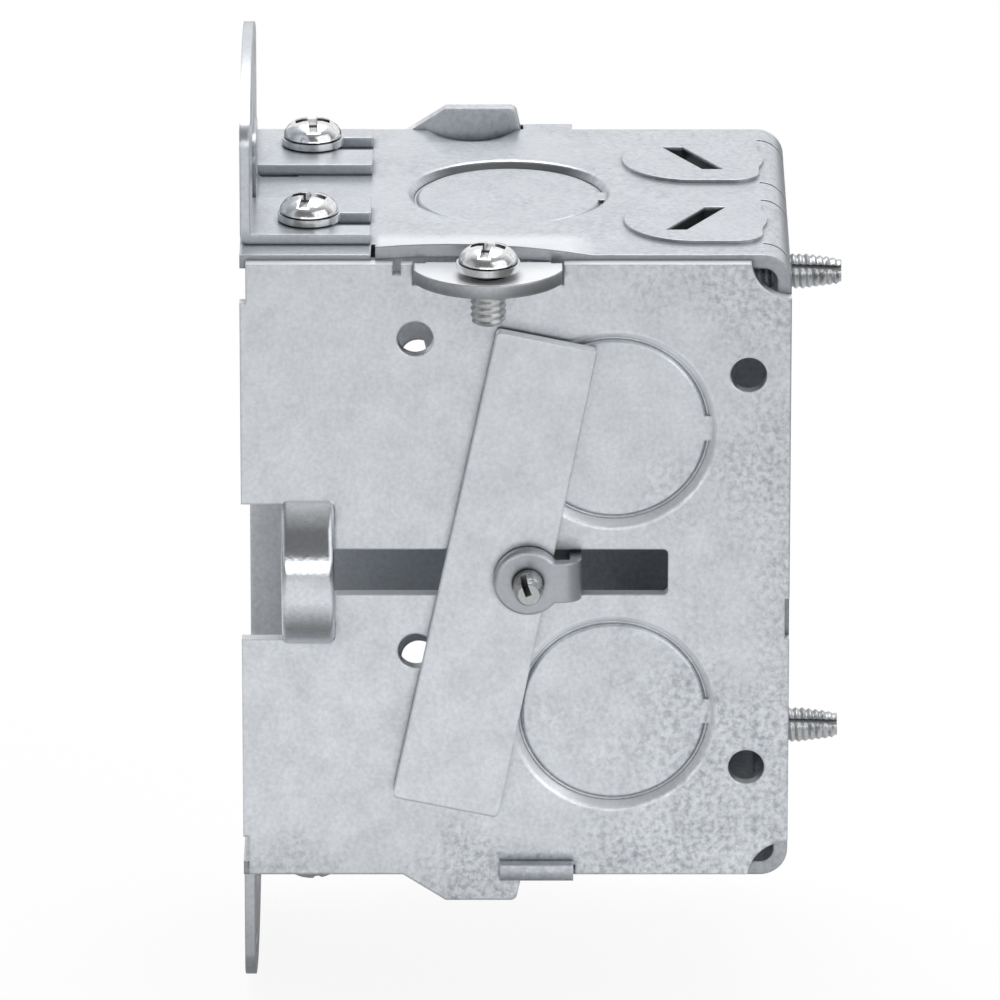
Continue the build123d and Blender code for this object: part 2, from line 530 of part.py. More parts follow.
def pivot_screw():
    """The screw the right bar turns on: head inside the box, tip standing out of the hanger's disc."""
    seat_x = HANGER_FOOT_X - SEAT_CLEARANCE
    length = HANGER_OUTER_X + PIVOT_TIP_OUT - seat_x
    return pan_head_screw((seat_x, PIVOT_Y, 0), (1, 0, 0), PIVOT_RADIUS, length, PIVOT_HEAD_HEIGHT)


def cable_clamp():
    """The upper cable clamp: a saddle with a wing arched over the cable on each side of its screw."""
    low = CLAMP_Z - CLAMP_HEIGHT / 2
    inner_radius = CLAMP_WING_RADIUS - CLAMP_SHEET
    start = 270 - CLAMP_WING_ANGLE
    with BuildSketch() as wing:
        with BuildLine():
            outer = CenterArc((0, 0), CLAMP_WING_RADIUS, start, 2 * CLAMP_WING_ANGLE)
            inner = CenterArc((0, 0), inner_radius, start, 2 * CLAMP_WING_ANGLE)
            Line(outer @ 0, inner @ 0)
            Line(outer @ 1, inner @ 1)
        make_face()
    end = inner @ 0
    wing_y = CLAMP_SEAT_Y + CLAMP_SHEET - end.Y
    saddle_half = CLAMP_WING_X + end.X
    profile = Pos(0, CLAMP_SEAT_Y + CLAMP_SHEET / 2) * Rectangle(2 * saddle_half, CLAMP_SHEET)
    for x in (-CLAMP_WING_X, CLAMP_WING_X):
        profile += Pos(x, wing_y) * wing.sketch
    clamp = extrude(Plane((0, 0, low)) * profile, CLAMP_HEIGHT)
    return clamp - rod((0, CLAMP_SEAT_Y - CUT_MARGIN, CLAMP_Z), (0, 1, 0), SCREW_RADIUS + CLAMP_HOLE_CLEARANCE,
                       CLAMP_SHEET + 2 * CUT_MARGIN)


def cable_clamp_screw():
    """The upper clamp's screw: head in front of the saddle, tip standing out of the back."""
    seat_y = CLAMP_SEAT_Y - SEAT_CLEARANCE
    length = BOX_DEPTH + CLAMP_SCREW_TIP_OUT - seat_y
    return pan_head_screw((0, seat_y, CLAMP_Z), (0, 1, 0), SCREW_RADIUS, length)


# Every piece by its node name; the turned copies make the other side
right = {
    "side_plate": side_plate(),
    "gang_screw": gang_screw(),
    "swing_bar": swing_bar(),
    "bar_hanger": bar_hanger(),
    "bar_pivot_screw": pivot_screw(),
}
upper = {
    "plaster_ear": plaster_ear(),
    "cable_clamp": cable_clamp(),
    "cable_clamp_screw": cable_clamp_screw(),
}
nodes = {"box_body": box_body()}
for name, piece in right.items():
    nodes[name + "_right"] = piece
    nodes[name + "_left"] = half_turn(piece)
for name, piece in upper.items():
    nodes[name + "_upper"] = piece
    nodes[name + "_lower"] = half_turn(piece)
for side, x in (("right", EAR_SCREW_X), ("left", -EAR_SCREW_X)):
    nodes["ear_screw_upper_" + side] = ear_screw(x)
    nodes["ear_screw_lower_" + side] = half_turn(ear_screw(-x))

os.makedirs("parts", exist_ok=True)
for name, piece in nodes.items():
    export_step(piece, f"parts/{name}.step")
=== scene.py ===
import math

import bpy
from mathutils import Matrix, Vector


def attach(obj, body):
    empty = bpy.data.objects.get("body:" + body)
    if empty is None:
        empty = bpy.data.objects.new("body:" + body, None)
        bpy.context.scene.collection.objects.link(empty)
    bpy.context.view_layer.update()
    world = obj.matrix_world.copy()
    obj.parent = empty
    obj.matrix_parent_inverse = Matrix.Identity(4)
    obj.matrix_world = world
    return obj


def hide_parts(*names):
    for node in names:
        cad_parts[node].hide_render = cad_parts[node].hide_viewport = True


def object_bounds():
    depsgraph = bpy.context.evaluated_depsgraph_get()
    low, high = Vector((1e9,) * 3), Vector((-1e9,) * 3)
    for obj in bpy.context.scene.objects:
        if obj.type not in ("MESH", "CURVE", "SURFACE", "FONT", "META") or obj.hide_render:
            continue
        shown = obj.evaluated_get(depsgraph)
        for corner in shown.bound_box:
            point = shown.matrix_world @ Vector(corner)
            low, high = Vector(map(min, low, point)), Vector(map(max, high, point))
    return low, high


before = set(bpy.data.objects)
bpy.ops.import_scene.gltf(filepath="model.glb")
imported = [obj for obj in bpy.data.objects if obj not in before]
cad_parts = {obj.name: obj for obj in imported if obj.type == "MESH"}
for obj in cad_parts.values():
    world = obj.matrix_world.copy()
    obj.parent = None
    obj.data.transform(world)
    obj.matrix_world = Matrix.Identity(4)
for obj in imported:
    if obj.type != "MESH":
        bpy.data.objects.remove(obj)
cad_box = [[float(x) for x in corner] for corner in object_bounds()]

MM = 0.001
SIDES = {"right": 1, "left": -1}
ENDS = {"upper": 1, "lower": -1}

# Places on the box, in millimetres
HALF_WIDTH, HALF_HEIGHT = 25.4, 38.1
END_KNOCKOUT_Y = 31.0
SIDE_KNOCKOUT_Y, SIDE_KNOCKOUT_Z = 43.1, 17.4
EAR_SCREW_X, EAR_SCREW_Y, EAR_SCREW_Z = 14.3, 7.9, 39.4
GANG_SCREW_X, GANG_SCREW_Y, GANG_SCREW_Z = 29.6, 28.6, 38.35
PIVOT_SCREW_X, PIVOT_SCREW_Y = 22.05, 33.2
CLAMP_SCREW_Y, CLAMP_SCREW_Z = 44.25, 28.3

# Where marks on the sheet fade in or out, in millimetres: none at the first value, full at the second
END_THROAT_INNER, END_THROAT_OUTER = (10.6, 10.8), (12.2, 12.0)
SIDE_THROAT_INNER, SIDE_THROAT_OUTER = (11.0, 11.1), (12.2, 12.1)
WALL_INNER, WALL_OUTER = (36.2, 36.5), (38.15, 38.05)
WALL_CUTS_FRONT, WALL_CUTS_BACK, WALL_CUTS_ASIDE = 8.0, 60.0, 23.5
SLIT_ASIDE = 24.2
LIP_ACROSS, LIP_FRONT, LIP_BACK = (15.5, 18.0), (15.6, 16.2), (41.0, 38.0)
LUG_OUT, LUG_UP, LUG_RIM = 25.6, 35.8, (37.4, 36.4)
PLATE_TOP = (38.5, 38.3)
ARCH_OUT, ARCH_AHEAD, ARCH_LEVEL = (25.6, 26.2), (12.5, 11.5), (11.0, 9.5)

# Where dull specks gather: further back and further up or down, in millimetres, and by how much
SPECKS_BACK, SPECKS_BACK_SHARE = (15.0, 62.0), (-0.08, 0.12)
SPECKS_END, SPECKS_END_SHARE = (10.0, 36.0), (-0.14, 0.13)

# Finishes
ZINC_SHADES = {"Crystal tone": 0.1, "Grit": 0.3, "Cloud": 0.18}
# Edges: rounded in the shading, and lightened in colour partly as worn zinc and partly as a painted highlight
EDGE_RADIUS, EDGE_SHINE, EDGE_LIGHTER = 0.4 * MM, 0.5, 1.2
# Painted shade in seams and under close pieces: how far it reaches, and how dark its colour is on sheet and on screws
SEAM_REACH, SEAM_DARKER, SCREW_SEAM_DARKER = 1.0 * MM, 0.3, 0.15
GRIT_BUMP, GRIT_HEIGHT = 0.12, 0.05 * MM
# The metallic share drops where a painted highlight lies, so that its light colour shows
SHEET_METALLIC, BRIGHT_LESS_METALLIC = 0.9, 0.5
DULL_ROUGHER, RUBBED_SMOOTHER, SCREW_ROUGHER = 0.18, 0.16, 0.1
SHEET_ROUGHNESS = 0.27
# The dark colour is partly cut steel and partly painted shade in cuts, slots and gaps; the light colour is burnished
# zinc on the arch and a painted highlight on the other bright marks
CUT_STEEL_AND_SHADE, BURNISH_AND_HIGHLIGHT_ZINC = (0.12, 0.125, 0.13, 1), (0.9, 0.91, 0.93, 1)
PALE_ZINC, DULL_ZINC, PLATE_ZINC = (0.66, 0.69, 0.73, 1), (0.35, 0.37, 0.4, 1), (0.745, 0.775, 0.81, 1)
HANGER_PALE, HANGER_DULL = (0.47, 0.49, 0.52, 1), (0.31, 0.32, 0.34, 1)
# Marks and their colours: bright is a painted highlight, rubbed is the arch's burnished zinc, sheared is cut steel
# darkened further as painted shade
MARK_FINISHES_AND_PAINTED_LIGHT = {"bright": (0.8, BURNISH_AND_HIGHLIGHT_ZINC), "rubbed": (0.1, BURNISH_AND_HIGHLIGHT_ZINC), "sheared": (0.92, CUT_STEEL_AND_SHADE)}

# Shader helpers


def socket(group, name, kind, way="INPUT", value=None):
    made = group.interface.new_socket(name, in_out=way, socket_type="NodeSocket" + kind)
    if value is not None:
        made.default_value = value
    return made


def node(tree, kind, **inputs):
    made = tree.nodes.new("ShaderNode" + kind)
    for name, value in inputs.items():
        feed(tree, made.inputs[name.replace("_", " ")], value)
    return made


def feed(tree, target, value):
    if isinstance(value, bpy.types.NodeSocket):
        tree.links.new(value, target)
    else:
        target.default_value = value


def object_place(tree):
    return tree.nodes.new("ShaderNodeTexCoord").outputs["Object"]


def blend_colours(tree, factor, low, high):
    mix = tree.nodes.new("ShaderNodeMix")
    mix.data_type = "RGBA"
    feed(tree, mix.inputs["Factor"], factor)
    feed(tree, mix.inputs["A"], low)
    feed(tree, mix.inputs["B"], high)
    return mix.outputs["Result"]


def stretch(tree, value, from_low, from_high, to_low=0.0, to_high=1.0):
    ranged = node(tree, "MapRange", Value=value, From_Min=from_low, From_Max=from_high,
                  To_Min=to_low, To_Max=to_high)
    return ranged.outputs["Result"]


def fade(tree, value, span, none=0.0, full=1.0):
    """Stretch a length over a span that is given in millimetres."""
    return stretch(tree, value, span[0] * MM, span[1] * MM, none, full)


def combine(tree, operation, first, second=0.0):
    made = tree.nodes.new("ShaderNodeMath")
    made.operation = operation
    feed(tree, made.inputs[0], first)
    feed(tree, made.inputs[1], second)
    return made.outputs["Value"]


def product(tree, first, *others):
    for other in others:
        first = combine(tree, "MULTIPLY", first, other)
    return first


def under(tree, value, limit):
    return combine(tree, "LESS_THAN", value, limit * MM)


def over(tree, value, limit):
    return combine(tree, "GREATER_THAN", value, limit * MM)


def darker(colour, share):
    return tuple(c * share for c in colour[:3]) + (1.0,)


def lighter(colour, share):
    return tuple(min(1.0, c * share) for c in colour[:3]) + (1.0,)


# Galvanised sheet and bright zinc


def zinc_spangle_group():
    """Hot-dip zinc: faint crystals, fine grit, and dull specks in patches towards the back and the ends."""
    group = bpy.data.node_groups.new("zinc_spangle", "ShaderNodeTree")
    socket(group, "Place", "Vector")
    socket(group, "Crystals per mm", "Float", value=0.35)
    socket(group, "Grit per mm", "Float", value=1.9)
    socket(group, "Specks per mm", "Float", value=1.3)
    for name in ("Crystal tone", "Grit", "Cloud", "Stain"):
        socket(group, name, "Float", "OUTPUT")
    inside = group.nodes.new("NodeGroupInput")
    outside = group.nodes.new("NodeGroupOutput")
    per_metre = (1 / MM, 1 / MM, 1 / MM)
    place = node(group, "Mapping", Vector=inside.outputs["Place"], Scale=per_metre).outputs["Vector"]
    crystals = node(group, "TexVoronoi", Vector=place, Scale=inside.outputs["Crystals per mm"])
    crystals.feature = "SMOOTH_F1"
    tone = node(group, "SeparateColor", Color=crystals.outputs["Color"]).outputs["Red"]
    grit = node(group, "TexNoise", Vector=place, Scale=inside.outputs["Grit per mm"], Detail=3.0, Roughness=0.6)
    specks = node(group, "TexNoise", Vector=place, Scale=inside.outputs["Specks per mm"], Detail=3.0,
                  Roughness=0.62)
    clouds = node(group, "TexNoise", Vector=place, Scale=0.24, Detail=2.0, Roughness=0.55)
    drift = node(group, "TexNoise", Vector=place, Scale=0.05, Detail=2.0, Roughness=0.5)
    axes = node(group, "SeparateXYZ", Vector=place).outputs
    back = stretch(group, axes["Y"], *SPECKS_BACK, *SPECKS_BACK_SHARE)
    end = stretch(group, combine(group, "ABSOLUTE", axes["Z"]), *SPECKS_END, *SPECKS_END_SHARE)
    where = combine(group, "ADD", combine(group, "ADD", drift.outputs["Fac"], back), end)
    stain = product(group, stretch(group, specks.outputs["Fac"], 0.42, 0.68), stretch(group, where, 0.46, 0.68))
    group.links.new(tone, outside.inputs["Crystal tone"])
    group.links.new(stretch(group, grit.outputs["Fac"], 0.3, 0.7), outside.inputs["Grit"])
    group.links.new(stretch(group, clouds.outputs["Fac"], 0.32, 0.68), outside.inputs["Cloud"])
    group.links.new(stain, outside.inputs["Stain"])
    return group


def spangle_in(tree, **values):
    placed = tree.nodes.new("ShaderNodeGroup")
    placed.node_tree = ZINC_SPANGLE
    tree.links.new(object_place(tree), placed.inputs["Place"])
    for name, value in values.items():
        placed.inputs[name.replace("_", " ")].default_value = value
    return placed.outputs


def painted_shade_mask(tree):
    """Painted shade: 1 deep in a seam or under a piece that lies close, 0 in the open; the base colour is darkened by
    it as if shade fell there.
    """
    open_share = node(tree, "AmbientOcclusion", Distance=SEAM_REACH)
    open_share.samples = 6
    return stretch(tree, open_share.outputs["AO"], 0.35, 0.9, 1.0, 0.0)


def worn_and_highlit_edge_mask(tree, eased):
    """How far the eased normal turns from the flat one: near 0 on a face, near 1 along a sheared edge. It lightens
    the colour along edges, partly as wear and partly as a painted highlight.
    """
    turn = tree.nodes.new("ShaderNodeVectorMath")
    turn.operation = "DOT_PRODUCT"
    tree.links.new(eased, turn.inputs[0])
    tree.links.new(tree.nodes.new("ShaderNodeNewGeometry").outputs["Normal"], turn.inputs[1])
    return stretch(tree, turn.outputs["Value"], 0.995, 0.8)


def surface_axes(tree):
    """Place of the surface on each axis, and the absolute place and direction."""
    place = node(tree, "SeparateXYZ", Vector=object_place(tree)).outputs
    facing = node(tree, "SeparateXYZ", Vector=tree.nodes.new("ShaderNodeNewGeometry").outputs["Normal"]).outputs
    far = {axis: combine(tree, "ABSOLUTE", place[axis]) for axis in "XYZ"}
    turned = {axis: combine(tree, "ABSOLUTE", facing[axis]) for axis in "XYZ"}
    return place, far, turned


def distance_from(tree, far, **centre):
    """Distance of the surface from the axis that passes through a centre, given on the two other axes."""
    squares = [combine(tree, "POWER", combine(tree, "SUBTRACT", far[axis], at * MM), 2.0)
               for axis, at in centre.items()]
    return combine(tree, "SQRT", combine(tree, "ADD", *squares))


def body_marks(tree):
    """The folded body's sheared edges, slots and knockout throats, darkened partly as cut steel and partly as painted
    shade, and a painted highlight on the lips where boxes are ganged.
    """
    place, far, turned = surface_axes(tree)
    # Painted shade, partly cut steel: the walls of the slits, of the end knockout's throat and of the wall cuts are
    # darkened
    slit = product(tree, stretch(tree, turned["X"], 0.7, 0.95, 0.0, 0.45), under(tree, far["X"], SLIT_ASIDE))
    out = distance_from(tree, far, X=0.0, Y=END_KNOCKOUT_Y)
    throat = product(tree, fade(tree, out, END_THROAT_INNER), fade(tree, out, END_THROAT_OUTER),
                     stretch(tree, turned["Z"], 0.97, 0.85), stretch(tree, turned["X"], 0.3, 0.6))
    cut = product(tree, fade(tree, far["Z"], WALL_INNER), fade(tree, far["Z"], WALL_OUTER),
                  stretch(tree, turned["Z"], 0.6, 0.4), under(tree, far["X"], WALL_CUTS_ASIDE),
                  under(tree, far["Y"], WALL_CUTS_BACK), over(tree, far["Y"], WALL_CUTS_FRONT))
    ganged = combine(tree, "MULTIPLY", place["X"], combine(tree, "SIGN", place["Z"]))
    # Painted highlight along the lip where boxes are ganged
    lip_highlight = product(tree, fade(tree, ganged, LIP_ACROSS, 0.0, 0.7), stretch(tree, turned["Z"], 0.4, 0.7),
                  fade(tree, far["Y"], LIP_FRONT), fade(tree, far["Y"], LIP_BACK))
    return {"bright": lip_highlight, "sheared": combine(tree, "MAXIMUM", slit, combine(tree, "MAXIMUM", throat, cut))}


def plate_marks(tree):
    """A side plate's sheared lug rim, darkened partly as cut steel and partly as painted shade; its level top edges
    and knockout throats, lightened as a painted highlight; and its arch, which the press has rubbed smooth.
    """
    _, far, turned = surface_axes(tree)
    # Painted shade, partly cut steel: the lug's rim is darkened
    shaded_lug_rim = product(tree, over(tree, far["X"], LUG_OUT), over(tree, far["Z"], LUG_UP),
                  stretch(tree, turned["Z"], 0.6, 0.2), fade(tree, far["Z"], LUG_RIM, 0.3, 0.7))
    # Painted highlight on the plate's level top edges
    level = product(tree, stretch(tree, turned["Z"], 0.7, 0.9), fade(tree, far["Z"], PLATE_TOP))
    out = distance_from(tree, far, Y=SIDE_KNOCKOUT_Y, Z=SIDE_KNOCKOUT_Z)
    # Painted highlight in the side knockout's throat
    throat = product(tree, fade(tree, out, SIDE_THROAT_INNER, 0.0, 0.7), fade(tree, out, SIDE_THROAT_OUTER),
                     stretch(tree, turned["X"], 0.98, 0.9))
    arch = product(tree, fade(tree, far["X"], ARCH_OUT), fade(tree, far["Y"], ARCH_AHEAD),
                   fade(tree, far["Z"], ARCH_LEVEL))
    return {"bright": combine(tree, "MAXIMUM", level, throat), "rubbed": arch, "sheared": shaded_lug_rim}


def bar_marks(tree):
    """A painted highlight on a swing bar's upper and lower ends, the faces that turn up or down."""
    _, _, turned = surface_axes(tree)
    return {"bright": stretch(tree, turned["Z"], 0.6, 0.8)}


def material(name):
    made = bpy.data.materials.new(name)
    made.use_nodes = True
    tree = made.node_tree
    return made, tree, tree.nodes["Principled BSDF"]


def galvanised(name, pale, dull, roughness, stain_depth, marks=None, painted_shade_depth=0.8):
    made, tree, shader = material(name)
    zinc = spangle_in(tree)
    masks = marks(tree) if marks else {}
    shade = product(tree, zinc["Stain"], stain_depth)
    for layer, depth in ZINC_SHADES.items():
        shade = combine(tree, "ADD", shade, product(tree, zinc[layer], depth))
    eased = node(tree, "Bevel", Radius=EDGE_RADIUS)
    eased.samples = 4
    # Lighter colour along edges: partly worn zinc, partly a painted highlight on the rounded rims.
    edge = product(tree, worn_and_highlit_edge_mask(tree, eased.outputs["Normal"]), EDGE_SHINE)
    zinc_colour = blend_colours(tree, shade, pale, dull)
    zinc_colour = blend_colours(tree, edge, zinc_colour, lighter(pale, EDGE_LIGHTER))
    # Marks laid on the colour: painted highlights, the arch's burnished zinc, and cut faces darkened partly as
    # painted shade
    for mark, (depth, colour) in MARK_FINISHES_AND_PAINTED_LIGHT.items():
        if mark in masks:
            zinc_colour = blend_colours(tree, product(tree, masks[mark], depth), zinc_colour, colour)
    # Painted shade: the base colour darkens in seams and under pieces that lie close.
    painted_shade = product(tree, painted_shade_mask(tree), painted_shade_depth)
    feed(tree, shader.inputs["Base Color"], blend_colours(tree, painted_shade, zinc_colour, darker(dull, SEAM_DARKER)))
    bump = node(tree, "Bump", Strength=GRIT_BUMP, Distance=GRIT_HEIGHT, Height=zinc["Grit"],
                Normal=eased.outputs["Normal"])
    feed(tree, shader.inputs["Normal"], bump.outputs["Normal"])
    rough = stretch(tree, shade, 0.0, 1.0, roughness, roughness + DULL_ROUGHER)
    metallic = SHEET_METALLIC
    if "rubbed" in masks:
        rough = combine(tree, "SUBTRACT", rough, product(tree, masks["rubbed"], RUBBED_SMOOTHER))
        metallic = combine(tree, "ADD", product(tree, masks["rubbed"], 1.0 - SHEET_METALLIC), metallic)
    # Less metallic under a painted highlight, so that its light colour shows
    if "bright" in masks:
        metallic = combine(tree, "SUBTRACT", metallic, product(tree, masks["bright"], BRIGHT_LESS_METALLIC))
    feed(tree, shader.inputs["Roughness"], rough)
    feed(tree, shader.inputs["Metallic"], metallic)
    return made


def bright_zinc(name, colour, roughness):
    made, tree, shader = material(name)
    zinc = spangle_in(tree, Grit_per_mm=2.6)
    zinc_colour = blend_colours(tree, zinc["Grit"], colour, darker(colour, 0.8))
    # Painted shade on the screws: darker in seams and where other pieces lie close.
    painted_shade = product(tree, painted_shade_mask(tree), 0.8)
    painted_shade_colour = darker(colour, SCREW_SEAM_DARKER)
    feed(tree, shader.inputs["Base Color"], blend_colours(tree, painted_shade, zinc_colour, painted_shade_colour))
    rough = stretch(tree, zinc["Grit"], 0.0, 1.0, roughness, roughness + SCREW_ROUGHER)
    feed(tree, shader.inputs["Roughness"], rough)
    shader.inputs["Metallic"].default_value = 1.0
    return made


ZINC_SPANGLE = zinc_spangle_group()
BODY_STEEL = galvanised("galvanised_body", PALE_ZINC, DULL_ZINC, SHEET_ROUGHNESS, 0.4, body_marks)
PLATE_STEEL = galvanised("galvanised_plate", PLATE_ZINC, DULL_ZINC, SHEET_ROUGHNESS, 0.65, plate_marks, 0.55)
BAR_STEEL = galvanised("galvanised_bar", PLATE_ZINC, DULL_ZINC, SHEET_ROUGHNESS, 0.15, bar_marks)
EAR_STEEL = galvanised("galvanised_ear", PALE_ZINC, DULL_ZINC, SHEET_ROUGHNESS, 0.15, painted_shade_depth=0.5)
HANGER_STEEL = galvanised("galvanised_hanger", HANGER_PALE, HANGER_DULL, 0.25, 0.2)
WEB_STEEL = galvanised("galvanised_web", PALE_ZINC, DULL_ZINC, 0.32, 0.3, painted_shade_depth=0.15)
HEAD_ZINC = bright_zinc("bright_zinc_head", (0.86, 0.87, 0.88, 1), 0.13)
# The thread is the same zinc as the head, made rougher and painted darker as shade
SHADED_THREAD_ZINC = bright_zinc("bright_zinc_thread", (0.52, 0.53, 0.54, 1), 0.26)

# Screws, modelled once each with their head up and their shank down the Z axis, in millimetres
SCREW_FORMS = {
    "upper_ear": {"radius": 2.05, "length": 5.45, "head": 3.0, "taper": 0.6},
    "lower_ear": {"radius": 2.05, "length": 5.45, "head": 2.3, "taper": 0.6},
    "gang": {"radius": 2.05, "length": 6.5, "head": 3.0, "taper": 0.6},
    "clamp": {"radius": 2.05, "length": 25.6, "head": 2.3, "taper": 4.0, "tip_share": 0.64, "mill": (5.8, 0.5, 0.6)},
    "pivot": {"radius": 1.75, "length": 11.1, "head": 1.9, "taper": 1.6, "tip_share": 0.75, "mill": (2.6, 0.75, 1.5)},
}
HEAD_RADIUS, SLOT_WIDTH, SLOT_DEPTH = 3.65 * MM, 1.05 * MM, 0.9 * MM
# Steps from the crown of a head to its foot, as shares of its radius and its height
HEAD_PROFILE = ((0.35, -0.035), (0.27, -0.105), (0.2, -0.18), (0.1, -0.18), (0.02, -0.14), (-0.04, -0.04),
                (0.1, -0.02), (0.0, -0.26), (-0.03, -0.04), (-0.97, 0.0))
HEAD_FACETS, SHANK_FACETS, WEB_FACETS = 40, 28, 96
THREAD_PITCH, THREAD_DEPTH = 0.79 * MM, 0.22 * MM
FLANK, CREST = 0.36 * THREAD_PITCH, 0.14 * THREAD_PITCH
SHANK_IN_HEAD = 0.4 * MM
TAPER_STEPS = 8
FLUTE_LEAN = math.radians(7)
SMOOTH_BELOW = math.radians(38)
MERGE_WITHIN, SAW_WITHIN = 0.002 * MM, 0.0001 * MM
EAR_SLOT_TURN, EAR_SLOT_SPREAD, GANG_SLOT_TURN, PIVOT_SLOT_TURN, CLAMP_SLOT_TURN = 84, 9, 80, 70, 35

# Section of the web round a knockout: where it starts below the sheet's face, and its steps, in millimetres
WEB_START = (10.74, -1.45)
WEB_PROFILE = ((0, 0.43), (0.2, 0.1), (0.22, -0.05), (0, -0.48), (-0.42, 0))


def select_only(*pieces):
    """Select these pieces, the last one active."""
    bpy.ops.object.select_all(action="DESELECT")
    for piece in pieces:
        piece.select_set(True)
        bpy.context.view_layer.objects.active = piece


def start_line(radius, height):
    """A single vertex in edit mode, ready to be drawn out into a profile."""
    bpy.ops.object.select_all(action="DESELECT")
    bpy.ops.mesh.primitive_plane_add(size=MM, location=(0, 0, 0))
    drawn = bpy.context.object
    bpy.ops.object.mode_set(mode="EDIT")
    bpy.ops.mesh.select_all(action="SELECT")
    bpy.ops.mesh.merge(type="CENTER")
    bpy.ops.transform.translate(value=(radius, 0, height))
    return drawn


def draw_to(across, along):
    bpy.ops.mesh.extrude_vertices_move(TRANSFORM_OT_translate={"value": (across, 0, along)})


def turn_profile(drawn, steps, rise=0.0):
    """Turn the drawn line about Z, climbing by rise in each turn, and merge the seam."""
    bpy.ops.object.mode_set(mode="OBJECT")
    turn = drawn.modifiers.new("turn", "SCREW")
    turn.axis = "Z"
    turn.angle = 2 * math.pi
    turn.screw_offset = rise
    turn.steps = turn.render_steps = steps
    turn.use_merge_vertices = True
    turn.merge_threshold = MERGE_WITHIN
    bpy.ops.object.modifier_apply(modifier=turn.name)
    bpy.ops.object.mode_set(mode="EDIT")
    bpy.ops.mesh.select_all(action="SELECT")
    bpy.ops.mesh.remove_doubles(threshold=MERGE_WITHIN)


def close_outwards():
    """Point the faces outwards and leave edit mode with nothing selected in the mesh."""
    bpy.ops.mesh.select_all(action="SELECT")
    bpy.ops.mesh.normals_make_consistent(inside=False)
    bpy.ops.mesh.select_all(action="DESELECT")
    bpy.ops.object.mode_set(mode="OBJECT")


def cut_square(height, keep_below):
    """Saw the turned part off at a height and close the end."""
    bpy.ops.mesh.select_all(action="SELECT")
    bpy.ops.mesh.bisect(plane_co=(0, 0, height), plane_no=(0, 0, 1), use_fill=True,
                        clear_outer=keep_below, clear_inner=not keep_below, threshold=SAW_WITHIN)


def narrow_below(shank, height, share):
    """Draw in all of the shank that lies below a height."""
    for point in shank.data.vertices:
        point.select = point.co.z < height
    bpy.ops.object.mode_set(mode="EDIT")
    bpy.ops.transform.resize(value=(share, share, 1), center_override=(0, 0, 0))
    bpy.ops.mesh.select_all(action="DESELECT")
    bpy.ops.object.mode_set(mode="OBJECT")


def threaded_shank(radius, length, taper, tip_share):
    shank = start_line(radius - THREAD_DEPTH, 2 * THREAD_PITCH)
    for _ in range(int(length / THREAD_PITCH) + 5):
        draw_to(THREAD_DEPTH, -FLANK)
        draw_to(0, -CREST)
        draw_to(-THREAD_DEPTH, -FLANK)
        draw_to(0, -CREST)
    turn_profile(shank, SHANK_FACETS, THREAD_PITCH)
    cut_square(SHANK_IN_HEAD, True)
    cut_square(-length, False)
    close_outwards()
    for step in range(TAPER_STEPS):
        left = 1 - step / TAPER_STEPS
        narrow_below(shank, -length + taper * left * left, tip_share ** (1 / TAPER_STEPS))
    return shank


def cut_block(piece, size, place, lean=0.0):
    """Cut a square block of this size out of a piece."""
    bpy.ops.object.select_all(action="DESELECT")
    bpy.ops.mesh.primitive_cube_add(size=1, location=place)
    block = bpy.context.object
    block.scale = size
    block.rotation_euler = (0, lean, 0)
    bpy.ops.object.transform_apply(location=True, rotation=True, scale=True)
    select_only(piece)
    cut = piece.modifiers.new("cut", "BOOLEAN")
    cut.operation = "DIFFERENCE"
    cut.object = block
    cut.solver = "EXACT"
    bpy.ops.object.modifier_apply(modifier=cut.name)
    bpy.data.objects.remove(block, do_unlink=True)


def slotted_head(height):
    """A domed head on a collar, with a straight slot and a shorter cross cut."""
    head = start_line(0, height)
    for across, along in HEAD_PROFILE:
        draw_to(across * HEAD_RADIUS, along * height)
    turn_profile(head, HEAD_FACETS)
    close_outwards()
    cut_block(head, (SLOT_WIDTH, 2.4 * HEAD_RADIUS, 2 * SLOT_DEPTH), (0, 0, height))
    cut_block(head, (1.1 * HEAD_RADIUS, SLOT_WIDTH, 2.5 * SLOT_DEPTH), (0, 0, height))
    return head


def screw(name, radius, length, head, taper, tip_share=0.8, mill=None):
    """A screw from its form in millimetres. The mill's reach, width and depth give the cutting flute at its tip."""
    shank = threaded_shank(radius * MM, length * MM, taper * MM, tip_share)
    if mill:
        reach, width, depth = (side * MM for side in mill)
        tip = (tip_share * radius * MM, 0, -length * MM)
        cut_block(shank, (2 * depth, width, 2 * reach), tip, FLUTE_LEAN)
    crown = slotted_head(head * MM)
    shank.data.materials.append(SHADED_THREAD_ZINC)
    crown.data.materials.append(HEAD_ZINC)
    select_only(shank, crown)
    bpy.ops.object.join()
    bpy.ops.object.shade_smooth_by_angle(angle=SMOOTH_BELOW)
    made = bpy.context.object
    made.name = made.data.name = name + "_screw_pattern"
    return made


def set_copy(pattern, name, seat, up, turn=0.0):
    """A copy of a modelled piece with a mesh of its own, its origin on seat and its Z axis along up."""
    placed = pattern.copy()
    placed.data = pattern.data.copy()
    placed.name = placed.data.name = name
    bpy.context.collection.objects.link(placed)
    way = Vector(up).to_track_quat("Z", "Y").to_matrix().to_4x4()
    about = Matrix.Rotation(math.radians(turn), 4, "Z")
    placed.matrix_world = Matrix.Translation(Vector(seat) * MM) @ way @ about
    select_only(placed)
    bpy.ops.object.transform_apply(location=True, rotation=True, scale=True)
    return placed


def set_screw(pattern, node_name, body, seat, direction, turn=0.0):
    """A modelled screw in place of a CAD node, its head on seat and its shank along direction."""
    placed = set_copy(pattern, "threaded_" + node_name, seat, -Vector(direction), turn)
    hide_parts(node_name)
    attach(placed, body)


